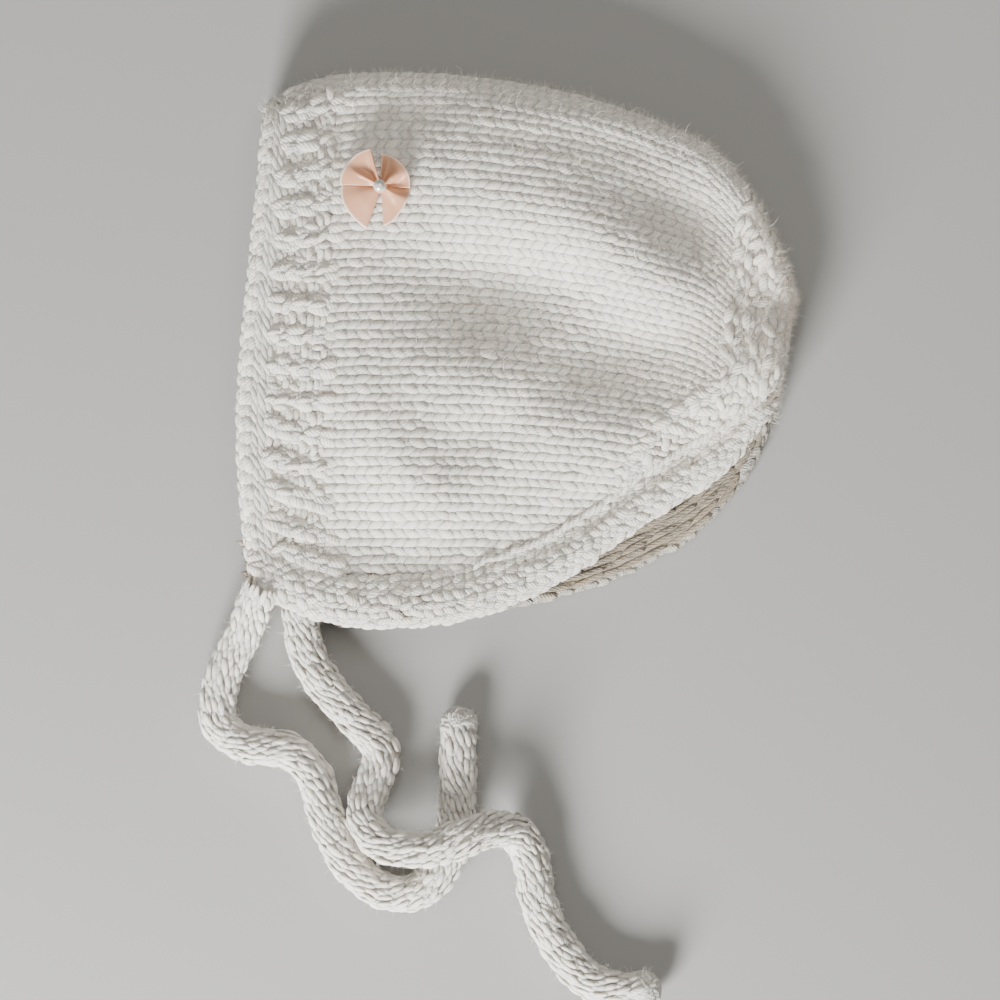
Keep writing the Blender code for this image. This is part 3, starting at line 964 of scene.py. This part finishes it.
def pucker_strands(row, side, yarn):
    """One row of puckered loops above one layer's neck band."""
    alongs = np.linspace(0.45, GATHER_SHARE - 0.002, 120)
    upper = np.full(alongs.shape, side > 0)
    room = pucker_share(alongs, upper)
    reach = 1 - band_share(alongs, upper) - (1 - row.share) * room
    run = run_along(cloth(alongs, side * reach))
    spots = loose_spots(run, alongs, row.pitch)
    spots = spots[np.interp(spots, alongs, room) > 0.025]
    here = np.interp(spots, alongs, reach)
    points = cloth(spots, side * here, np.full_like(spots, WALL / 2 - yarn * 0.35))
    frames = strand_frames(points, np.gradient(points, axis=0), outward(spots, side * here), 0.20)
    return joined("loops", slant(row.length, row.lean * side, yarn), *frames)


class BONNET_OT_neck_band(bpy.types.Operator):
    """Knit the band round the neck, picked up along the body"""

    bl_idname = "bonnet.neck_band"
    bl_label = "Neck band"

    def execute(self, context):
        yarn = context.scene.bonnet_sizes.yarn
        rows = [mesh for side in (1.0, -1.0) for mesh in band_strands(side, yarn)]
        inside = merged_mesh("neck_inner_rows", inner_strands(yarn))
        # The inner rows are tinted darker as painted shade, standing in for the upper layer's shadow
        # over them.
        add_piece("neck_inner_rows", inside, yarn_material("wool_inside_painted_shade", tint=PAINTED_SHADE_TINT))
        add_piece("neck_band_knit", merged_mesh("neck_band_knit", rows), yarn_material())
        loops = [pucker_strands(row, side, yarn) for side in (1.0, -1.0) for row in PUCKER_ROWS]
        add_piece("pucker_loops", merged_mesh("pucker_loops", loops), yarn_material())
        halves = []
        for side in (1.0, -1.0):

            def half(column, row, side=side):
                return band_place(column, row, side, -0.0007)

            halves.append(wall_mesh("half", 100, 10, half))
        # Painted shade: the band's cloth, seen in the pockets between its rows and from inside, takes
        # the same darker tint.
        painted_shade_backing = backing_material("wool_band_painted_shade", PAINTED_SHADE_TINT)
        both = merged_mesh("neck_band_cloth", halves)
        add_wall(add_piece("neck_band_cloth", both, painted_shade_backing, ["neck_band"]), SHEET)
        return {"FINISHED"}


# Back


class BONNET_OT_back(bpy.types.Operator):
    """Knit the gathered back of the head in rows of bumps that follow its outline"""

    bl_idname = "bonnet.back"
    bl_label = "Back"

    def execute(self, context):
        sizes = context.scene.bonnet_sizes
        origins, axes = [], []
        for along in even_stations(GATHER_SHARE - 0.012, 0.990, 0.0021, 0.6):
            reach = 1 - band_share(np.array([along, along]), np.array([True, False]))
            spots = even_across(along, -reach[1], reach[0], 0.0030)
            spots = spots + rng.uniform(-0.008, 0.008)
            grid = np.clip(along + 0.006 * rng.standard_normal(len(spots)), 0.0, 0.992)
            lumps = 0.0005 * np.sin(spots * 88 + 5 * np.sin(along * 60))
            points = cloth(grid, spots, WALL / 2 - sizes.yarn * 0.30 + lumps)
            up = outward(grid, spots)
            toward = unit(np.gradient(points, axis=0))
            ahead = toward + 0.38 * rng.standard_normal((len(spots), 1)) * np.cross(toward, up)
            frames = strand_frames(points + 0.0003 * rng.standard_normal(points.shape), ahead, up, 0.16)
            origins.append(frames[0])
            axes.append(frames[1])
        mesh = joined(
            "back_bumps",
            slant(0.0058, 0.0, sizes.yarn * 0.94, 0.30, 5, 6, 0.5, 0.62),
            np.vstack(origins),
            np.concatenate(axes),
        )
        add_piece("back_bumps", mesh, yarn_material())

        def place(column, row):
            across = 2 * row - 1
            along = GATHER_SHARE + (1 - GATHER_SHARE) * column
            reach = 1 - band_share(along, across > 0)
            return cloth(along, across * reach, np.full_like(along, 0.0004))

        sheet("back_cloth", 24, 100, place, ["back_gather"])
        return {"FINISHED"}


# Ties


def even_path(route, count):
    """Points evenly spaced along the smooth curve through a route."""
    fine = read_table(route, np.linspace(0, 1, 1200))
    run = run_along(fine)
    spots = np.linspace(0, run[-1], count)
    return np.stack([np.interp(spots, run, fine[:, k]) for k in range(3)], axis=-1), run[-1]


def tie_surface(points, turn, width, height):
    """Places round a tie's flattened section, and the way out of it."""
    width = np.maximum(width, 1e-5) * np.ones(len(points))
    height = np.maximum(height, 1e-5) * np.ones(len(points))
    ahead = unit(np.gradient(points, axis=0))
    up = unit(np.array((0.0, 0.0, 1.0)) - ahead * ahead[:, 2:3])
    aside = np.cross(up, ahead)
    spot = points + aside * (width * np.cos(turn))[:, None] + up * (height * np.sin(turn))[:, None]
    out = unit(aside * (np.cos(turn) / width)[:, None] + up * (np.sin(turn) / height)[:, None])
    return spot, ahead, out


TIE_YARN = 0.0017
TIE_COLUMNS = 15  # columns of strands round a tie
TIE_ROW = 0.0020  # from strand to strand along a column
TIE_SKIN = (0.0046, 0.0040)  # half the width and height of the surface that the strands lie on
TIE_CORE = (0.0041, 0.0035)  # half the width and height of the core under them
TIE_END = (0.0049, 0.0049, 0.0040)  # half the size of the ball at the free end
END_STRANDS = 140


def tie_strands(route, length):
    """The columns of strands round a tie, which sets out a little inside the bonnet's band."""
    count = round(length / TIE_ROW)
    points = even_path(route, count)[0]
    before = points[0] - unit(points[1] - points[0]) * np.array((0.0024, 0.0012))[:, None]
    points = np.vstack([before, points])
    spots = np.concatenate([[0.0, 0.0], np.linspace(0, length, count)])
    rest = np.minimum(length - spots, 0.0050) / 0.0050
    taper = np.sqrt(1 - (1 - rest) ** 2)
    strand = slant(0.0054, 0.30, TIE_YARN, 0.30, 5, 6)
    meshes = []
    for column in range(TIE_COLUMNS):
        turn = tau * (column + 0.5 * (np.arange(len(points)) % 2)) / TIE_COLUMNS
        lump = 1 + 0.07 * np.sin(spots * tau / 0.0042 + column)
        width, height = (half * taper * lump for half in TIE_SKIN)
        spot, ahead, out = tie_surface(points, turn, width, height)
        out = unit(out + 1e-6)
        room = taper > 0.3
        spot = spot[room] + 0.0002 * rng.standard_normal((room.sum(), 3))
        frames = strand_frames(spot, ahead[room], out[room], 0.13)
        meshes.append(joined("tie", strand, *frames))
    return meshes


def tie_end(fine):
    """The ball of strands that closes a tie's free end."""
    ahead = unit(fine[-1] - fine[-2])
    swirl = unit(rng.standard_normal((END_STRANDS, 3)) + ahead * 0.9)
    round_end = np.cross(swirl, ahead + 0.5 * rng.standard_normal((END_STRANDS, 3)))
    frames = strand_frames(fine[-1] - ahead * 0.0042 + swirl * TIE_END, round_end, swirl, 0.10)
    return joined("end", slant(0.0048, 0.1, TIE_YARN), *frames)


def tie_core(fine, length):
    """The plain core under a tie's strands, drawn in to a point at both ends."""
    last = len(fine) - 1
    rest = np.minimum(length - np.linspace(0, length, last + 1), 0.006) / 0.006
    ahead = unit(np.gradient(fine, axis=0))
    up = unit(np.array((0.0, 0.0, 1.0)) - ahead * ahead[:, 2:3])
    aside = np.cross(up, ahead)

    def place(column, turn):
        first = np.clip((column * last).round().astype(int), 0, last)
        narrow = np.sqrt(np.maximum(1 - (1 - rest[first]) ** 2, 0.0))
        narrow = np.where(first == 0, 0.0, narrow)
        angle = turn * tau
        across = aside[first] * (TIE_CORE[0] * narrow * np.cos(angle))[:, None]
        return fine[first] + across + up[first] * (TIE_CORE[1] * narrow * np.sin(angle))[:, None]

    core = grid_template(last, 10, place)
    return joined("core", core, np.zeros((1, 3)), np.eye(3)[None], np.array([0.4]))


def knit_tie(name, route, node):
    """A knitted cord: long fine strands laid at a slant round a flattened core, soft and lumpy."""
    fine, length = even_path(route, 120)
    meshes = [*tie_strands(route, length), tie_end(fine), tie_core(fine, length)]
    tie = add_piece(name, merged_mesh(name, meshes), yarn_material(), [node])


class BONNET_OT_ties(bpy.types.Operator):
    """Knit the two chin ties along their routes"""

    bl_idname = "bonnet.ties"
    bl_label = "Ties"

    def execute(self, context):
        knit_tie("near_tie_knit", NEAR_TIE_ROUTE, "near_tie")
        knit_tie("far_tie_knit", FAR_TIE_ROUTE, "far_tie")
        return {"FINISHED"}


# Bow

BOW_ALONG = 0.162  # place on the cloth, front to back
BOW_ACROSS = 0.237  # place on the cloth, crown to neck
BOW_REACH = 0.0120  # from the pearl to the edge of a lobe
BOW_EYE = 0.0012  # radius of the round that the lobes are gathered to under the knot
RIBBON = 0.0003  # thickness of the ribbon

# Each lobe runs from its first turn to its last, in degrees; the reaches are shares of the bow's
# reach, and the heights, in millimetres, stand in rows from the knot out to the lobe's edge.
Lobe = namedtuple("Lobe", "turns reaches heights")
LOBES = {
    "bow_left_tail": Lobe(
        (168, 182, 198, 214, 232, 250),
        (0.98, 1.02, 1.05, 1.05, 1.07, 1.13),
        ((1.0, 1.2, 1.5, 1.6, 1.5, 1.2), (0.7, 1.3, 1.9, 2.0, 1.7, 0.9), (0.6, 0.9, 1.3, 1.4, 1.1, 0.6)),
    ),
    "bow_left_loop": Lobe(
        (106, 116, 128, 141, 151, 159, 168, 178),
        (0.98, 0.99, 1.01, 1.02, 1.04, 1.04, 1.05, 1.04),
        (
            (3.4, 3.2, 2.6, 2.4, 3.3, 2.8, 2.3, 2.0),
            (3.9, 2.2, 1.4, 1.5, 3.3, 2.7, 2.5, 2.2),
            (3.0, 2.2, 1.7, 1.7, 2.6, 2.6, 2.4, 2.0),
            (2.5, 2.3, 2.2, 2.1, 2.2, 2.3, 2.1, 1.7),
        ),
    ),
    "bow_right_tail": Lobe(
        (-88, -74, -58, -42, -28, -12, 4),
        (1.00, 0.92, 0.82, 0.76, 0.74, 0.73, 0.72),
        (
            (1.4, 1.7, 2.0, 2.4, 2.6, 1.8, 1.2),
            (1.2, 1.6, 2.0, 2.7, 2.9, 1.5, 0.8),
            (0.7, 1.0, 1.4, 1.9, 2.2, 1.3, 0.7),
        ),
    ),
    "bow_right_loop": Lobe(
        (-4, 8, 20, 32, 44, 58, 74, 88),
        (0.72, 0.73, 0.74, 0.75, 0.76, 0.77, 0.79, 0.82),
        (
            (1.8, 1.6, 2.8, 3.9, 4.0, 3.3, 3.0, 3.6),
            (1.7, 1.2, 2.2, 4.0, 4.2, 2.6, 2.2, 4.0),
            (2.0, 1.6, 2.0, 3.3, 3.2, 2.3, 2.0, 3.4),
            (2.4, 2.5, 2.6, 2.7, 2.5, 2.2, 2.0, 2.6),
        ),
    ),
}


def bow_frame():
    """The bow's middle on the cloth, with its axes to the right, up the picture and out."""
    spot = cloth(np.array([BOW_ALONG]), np.array([BOW_ACROSS]), np.array([WALL / 2 + 0.0004]))[0]
    out = outward(np.array([BOW_ALONG]), np.array([BOW_ACROSS]))[0]
    right = unit(np.array((1.0, 0.0, 0.0)) - out * out[0])
    return spot, right, np.cross(out, right), out


def satin_material():
    """Peach satin, glossy across its threads, with a painted highlight along the outer rim of each lobe.
    """
    existing = bpy.data.materials.get("peach_satin")
    if existing:
        return existing
    colour = Vector(bpy.context.scene.bonnet_colours.satin)
    # Painted highlight: the paler colour of the lobes' outer rims.
    edge = colour * 0.35 + Vector((0.55, 0.52, 0.48))
    mat, nodes, links, shader = new_material("peach_satin", {"Roughness": 0.34, "Anisotropic": 0.75})
    tangent = nodes.new("ShaderNodeTangent")
    tangent.direction_type = "UV_MAP"
    tangent.uv_map = "UVMap"
    links.new(tangent.outputs[0], shader.inputs["Tangent"])
    uv = uv_map(nodes)
    threads = nodes.new("ShaderNodeTexWave")
    threads.inputs["Scale"].default_value = 26.0
    threads.inputs["Distortion"].default_value = 1.2
    threads.inputs["Detail"].default_value = 2.0
    links.new(uv, threads.inputs["Vector"])
    add_bump(nodes, links, shader, threads.outputs["Fac"], 0.10, 0.0001)
    split = nodes.new("ShaderNodeSeparateXYZ")
    links.new(uv, split.inputs[0])
    # The painted highlight is laid on the far end of the UV's X, the outer rim of each lobe.
    shade = colour_ramp(nodes, links, split.outputs["X"], (0.93, colour), (0.97, edge))
    links.new(shade, shader.inputs["Base Color"])
    return mat


def pearl_material():
    """A small glossy pearl."""
    values = {
        "Base Color": (*bpy.context.scene.bonnet_colours.pearl, 1.0),
        "Roughness": 0.22,
        "Metallic": 0.25,
        "Coat Weight": 1.0,
        "Coat Roughness": 0.06,
        "Sheen Weight": 0.5,
        "Sheen Tint": (0.95, 0.75, 0.72, 1.0),
    }
    return new_material("pearl_shine", values)[0]


def lobe_mesh(name, lobe):
    """One lobe of the ribbon, spread out from under the knot."""
    spot, right, top, out = bow_frame()

    def place(column, row):
        turn = np.radians(read_table(np.array(lobe.turns)[:, None], row)[..., 0])
        reach = read_table(np.array(lobe.reaches)[:, None], row)[..., 0] * BOW_REACH
        heights = read_table(np.array(lobe.heights).T, row)
        radius = BOW_EYE + (reach - BOW_EYE) * column
        place_out = np.clip(column, 0, 1) * (len(lobe.heights) - 1)
        first = np.minimum(place_out.astype(int), len(lobe.heights) - 2)
        f = place_out - first
        pick = np.arange(len(row))
        high = heights[pick, first] * (1 - f) + heights[pick, first + 1] * f
        return (
            spot
            + right * (radius * np.cos(turn))[:, None]
            + top * (radius * np.sin(turn))[:, None]
            + out * (high * 0.001 - 0.0004)[:, None]
        )

    return wall_mesh(name, 24, 48, place)


def knot_mesh(name):
    """The pinched and pleated middle of the bow."""
    spot, right, top, out = bow_frame()
    bm = bmesh.new()
    bm.loops.layers.uv.new("UVMap")
    bmesh.ops.create_uvsphere(bm, u_segments=32, v_segments=16, radius=0.0021, calc_uvs=True)
    turn = Matrix((right, top, out)).transposed()
    for vert in bm.verts:
        x, y, z = vert.co
        pleat = 1 + 0.06 * sin(9 * np.arctan2(y, x))
        vert.co = Vector(spot) + turn @ Vector((x * pleat, y * pleat, z * 0.75 + 0.0018))
    return finished_mesh(name, bm)


def bead_mesh(name, node):
    """A round bead that fills the node's place."""
    low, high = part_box(node)
    bm = bmesh.new()
    bmesh.ops.create_uvsphere(bm, u_segments=48, v_segments=24, radius=(high[0] - low[0]) / 2)
    bmesh.ops.translate(bm, verts=bm.verts, vec=(Vector(low) + Vector(high)) / 2)
    return finished_mesh(name, bm)


class BONNET_OT_bow(bpy.types.Operator):
    """Fold the satin bow and set its knot and pearl"""

    bl_idname = "bonnet.bow"
    bl_label = "Bow"

    def execute(self, context):
        for name, lobe in LOBES.items():
            ribbon = lobe_mesh(name, lobe)
            add_wall(add_piece(name + "_satin", ribbon, satin_material(), [name]), RIBBON)
        knot = knot_mesh("bow_knot_satin")
        add_piece("bow_knot_satin", knot, satin_material(), ["bow_knot"])
        add_piece("pearl_bead", bead_mesh("pearl_bead", "pearl"), pearl_material(), ["pearl"])
        return {"FINISHED"}


# Loose fibres


def fibre_template(width=0.020):
    """A thin curved strip, one long."""

    def place(share, side):
        x = share
        y = 0.25 * np.sin(pi * share * 0.9) + (side - 0.5) * width * (1.15 - share)
        z = 0.22 * share**2
        return np.stack([x, y, z], axis=-1)

    return grid_template(4, 1, place)


def fibre_frames(points, out, lean, length):
    """Fibres standing off a surface in random directions."""
    count = len(points)
    free = unit(rng.standard_normal((count, 3)))
    ahead = unit(free - out * np.sum(free * out, axis=-1, keepdims=True) * 0.9 + out * lean)
    side = unit(np.cross(out + 0.3 * rng.standard_normal((count, 3)), ahead))
    up = np.cross(ahead, side) * rng.choice([-1.0, 1.0], count)[:, None]
    long = (length * rng.uniform(0.4, 1.6, count))[:, None]
    return points, np.stack([ahead * long, side * long, up * long], axis=-2)


def fibres(points, out, lean, length, width=0.020):
    """Loose fibres at the points, without those that would pass through the floor."""
    template = fibre_template(width)
    points, axes = fibre_frames(points, out, lean, length)
    height = points[:, 2:3] + np.einsum("vk,nk->nv", template.points, axes[:, :, 2])
    clear = height.min(axis=1) > 0
    return joined("fibres", template, points[clear], axes[clear])


def cloth_fibres(along, across, lean, length, width=0.020):
    """Loose fibres on the cloth's outer side."""
    points = cloth(along, across, np.full(len(along), WALL / 2 - 0.0002))
    return fibres(points, outward(along, across), lean, length, width)


class BONNET_OT_fuzz(bpy.types.Operator):
    """Raise the wool's loose fibres over the cloth and the ties"""

    bl_idname = "bonnet.fuzz"
    bl_label = "Fuzz"

    def execute(self, context):
        sizes = context.scene.bonnet_sizes
        meshes = []
        # Each set covers a stretch front to back and one from the lower layer's neck edge, -1, over
        # the crown, 0, to the upper's, 1; the last four rows thicken the outline's haze
        for front, back, lower, upper, count, lean, length, width in (
            (0.0, 0.995, -1.0, 1.0, 27000, 0.35, sizes.fuzz * 0.9, 0.020),
            (0.0, 0.995, -0.12, 0.12, 540, 0.5, sizes.fuzz * 1.3, 0.020),
            (0.0, 0.995, -1.0, 1.0, 400, 0.5, sizes.fuzz * 1.3, 0.020),
            (0.01, 0.99, -0.05, 0.05, 2400, 0.8, 0.0020, 0.030),
            (0.955, 0.99, -0.9, 0.9, 600, 0.8, 0.0020, 0.030),
            (0.0, 0.01, 0.0, 0.95, 500, 0.8, 0.0020, 0.030),
            (0.01, 0.95, 0.975, 1.0, 700, 0.8, 0.0020, 0.030),
        ):
            along = rng.uniform(front, back, count)
            across = rng.uniform(lower, upper, count)
            meshes.append(cloth_fibres(along, across, lean, length, width))
        add_piece("cloth_fuzz", merged_mesh("cloth_fuzz", meshes), fibre_material())
        for name, route in (("near_tie_fuzz", NEAR_TIE_ROUTE), ("far_tie_fuzz", FAR_TIE_ROUTE)):
            path, length = even_path(route, 2400)
            turn = rng.uniform(0, tau, len(path))
            spot, ahead, out = tie_surface(path, turn, 0.0050, 0.0044)
            add_piece(name, fibres(spot, out, 0.5, sizes.fuzz * 0.8, 0.030), fibre_material())
        return {"FINISHED"}


class BONNET_OT_stage(bpy.types.Operator):
    """Set the floor, the soft lights and the camera straight above"""

    bl_idname = "bonnet.stage"
    bl_label = "Stage"

    def execute(self, context):
        colours = context.scene.bonnet_colours
        bm = bmesh.new()
        bmesh.ops.create_grid(bm, x_segments=1, y_segments=1, size=3.0)
        mesh = bpy.data.meshes.new("floor")
        bm.to_mesh(mesh)
        bm.free()
        floor = bpy.data.objects.new("floor", mesh)
        context.scene.collection.objects.link(floor)
        paint = {"Base Color": (*colours.floor, 1.0), "Roughness": 0.7}
        mesh.materials.append(new_material("floor_paint", paint)[0])
        camera_data = bpy.data.cameras.new("camera_above")
        camera = bpy.data.objects.new("camera_above", camera_data)
        context.scene.collection.objects.link(camera)
        camera_data.sensor_width = 36
        camera_data.lens = 36 * CAMERA_HEIGHT / PICTURE_WIDTH
        camera.location = (*PICTURE_MIDDLE, CAMERA_HEIGHT)
        context.scene.camera = camera
        # Light from the window side, low over the neck edge, and a weaker one from the ceiling
        for name, place, size, power, colour in (
            ("window", (-0.42, -0.92, 0.40), 0.40, 49.0, (1.0, 0.99, 0.97)),
            ("ceiling", (0.10, 0.35, 1.2), 1.0, 9.0, (1.0, 0.965, 0.91)),
        ):
            light_data = bpy.data.lights.new(name, "AREA")
            light_data.size = size
            light_data.energy = power
            light_data.color = colour
            light = bpy.data.objects.new(name, light_data)
            light.location = place
            light.rotation_euler = (Vector(place)).to_track_quat("Z", "Y").to_euler()
            context.scene.collection.objects.link(light)
        world = bpy.data.worlds.new("studio")
        world.use_nodes = True
        world.node_tree.nodes["Background"].inputs["Color"].default_value = (1.0, 0.95, 0.875, 1.0)
        world.node_tree.nodes["Background"].inputs["Strength"].default_value = 0.24
        context.scene.world = world
        return {"FINISHED"}


class BONNET_PT_panel(bpy.types.Panel):
    """Sizes, colours and pieces of the bonnet"""

    bl_label = "Bonnet"
    bl_idname = "BONNET_PT_panel"
    bl_space_type = "VIEW_3D"
    bl_region_type = "UI"
    bl_category = "Bonnet"

    def draw(self, context):
        for group in (context.scene.bonnet_sizes, context.scene.bonnet_colours):
            for name in group.bl_rna.properties.keys():
                if name not in ("rna_type", "name"):
                    self.layout.prop(group, name)
        for piece in PIECES:
            self.layout.operator(piece.bl_idname)


PIECES = (
    BONNET_OT_stage,
    BONNET_OT_ties,
    BONNET_OT_body,
    BONNET_OT_face_band,
    BONNET_OT_neck_band,
    BONNET_OT_back,
    BONNET_OT_bow,
    BONNET_OT_fuzz,
)
CLASSES = (BonnetSizes, BonnetColours, *PIECES, BONNET_PT_panel)


def register():
    for cls in CLASSES:
        bpy.utils.register_class(cls)
    bpy.types.Scene.bonnet_sizes = bpy.props.PointerProperty(type=BonnetSizes)
    bpy.types.Scene.bonnet_colours = bpy.props.PointerProperty(type=BonnetColours)


def unregister():
    del bpy.types.Scene.bonnet_colours
    del bpy.types.Scene.bonnet_sizes
    for cls in reversed(CLASSES):
        bpy.utils.unregister_class(cls)


def main():
    register()
    bpy.ops.bonnet.stage()
    bpy.ops.bonnet.ties()
    bpy.ops.bonnet.body()
    bpy.ops.bonnet.face_band()
    bpy.ops.bonnet.neck_band()
    bpy.ops.bonnet.back()
    bpy.ops.bonnet.bow()
    bpy.ops.bonnet.fuzz()


if __name__ == "__main__":
    main()
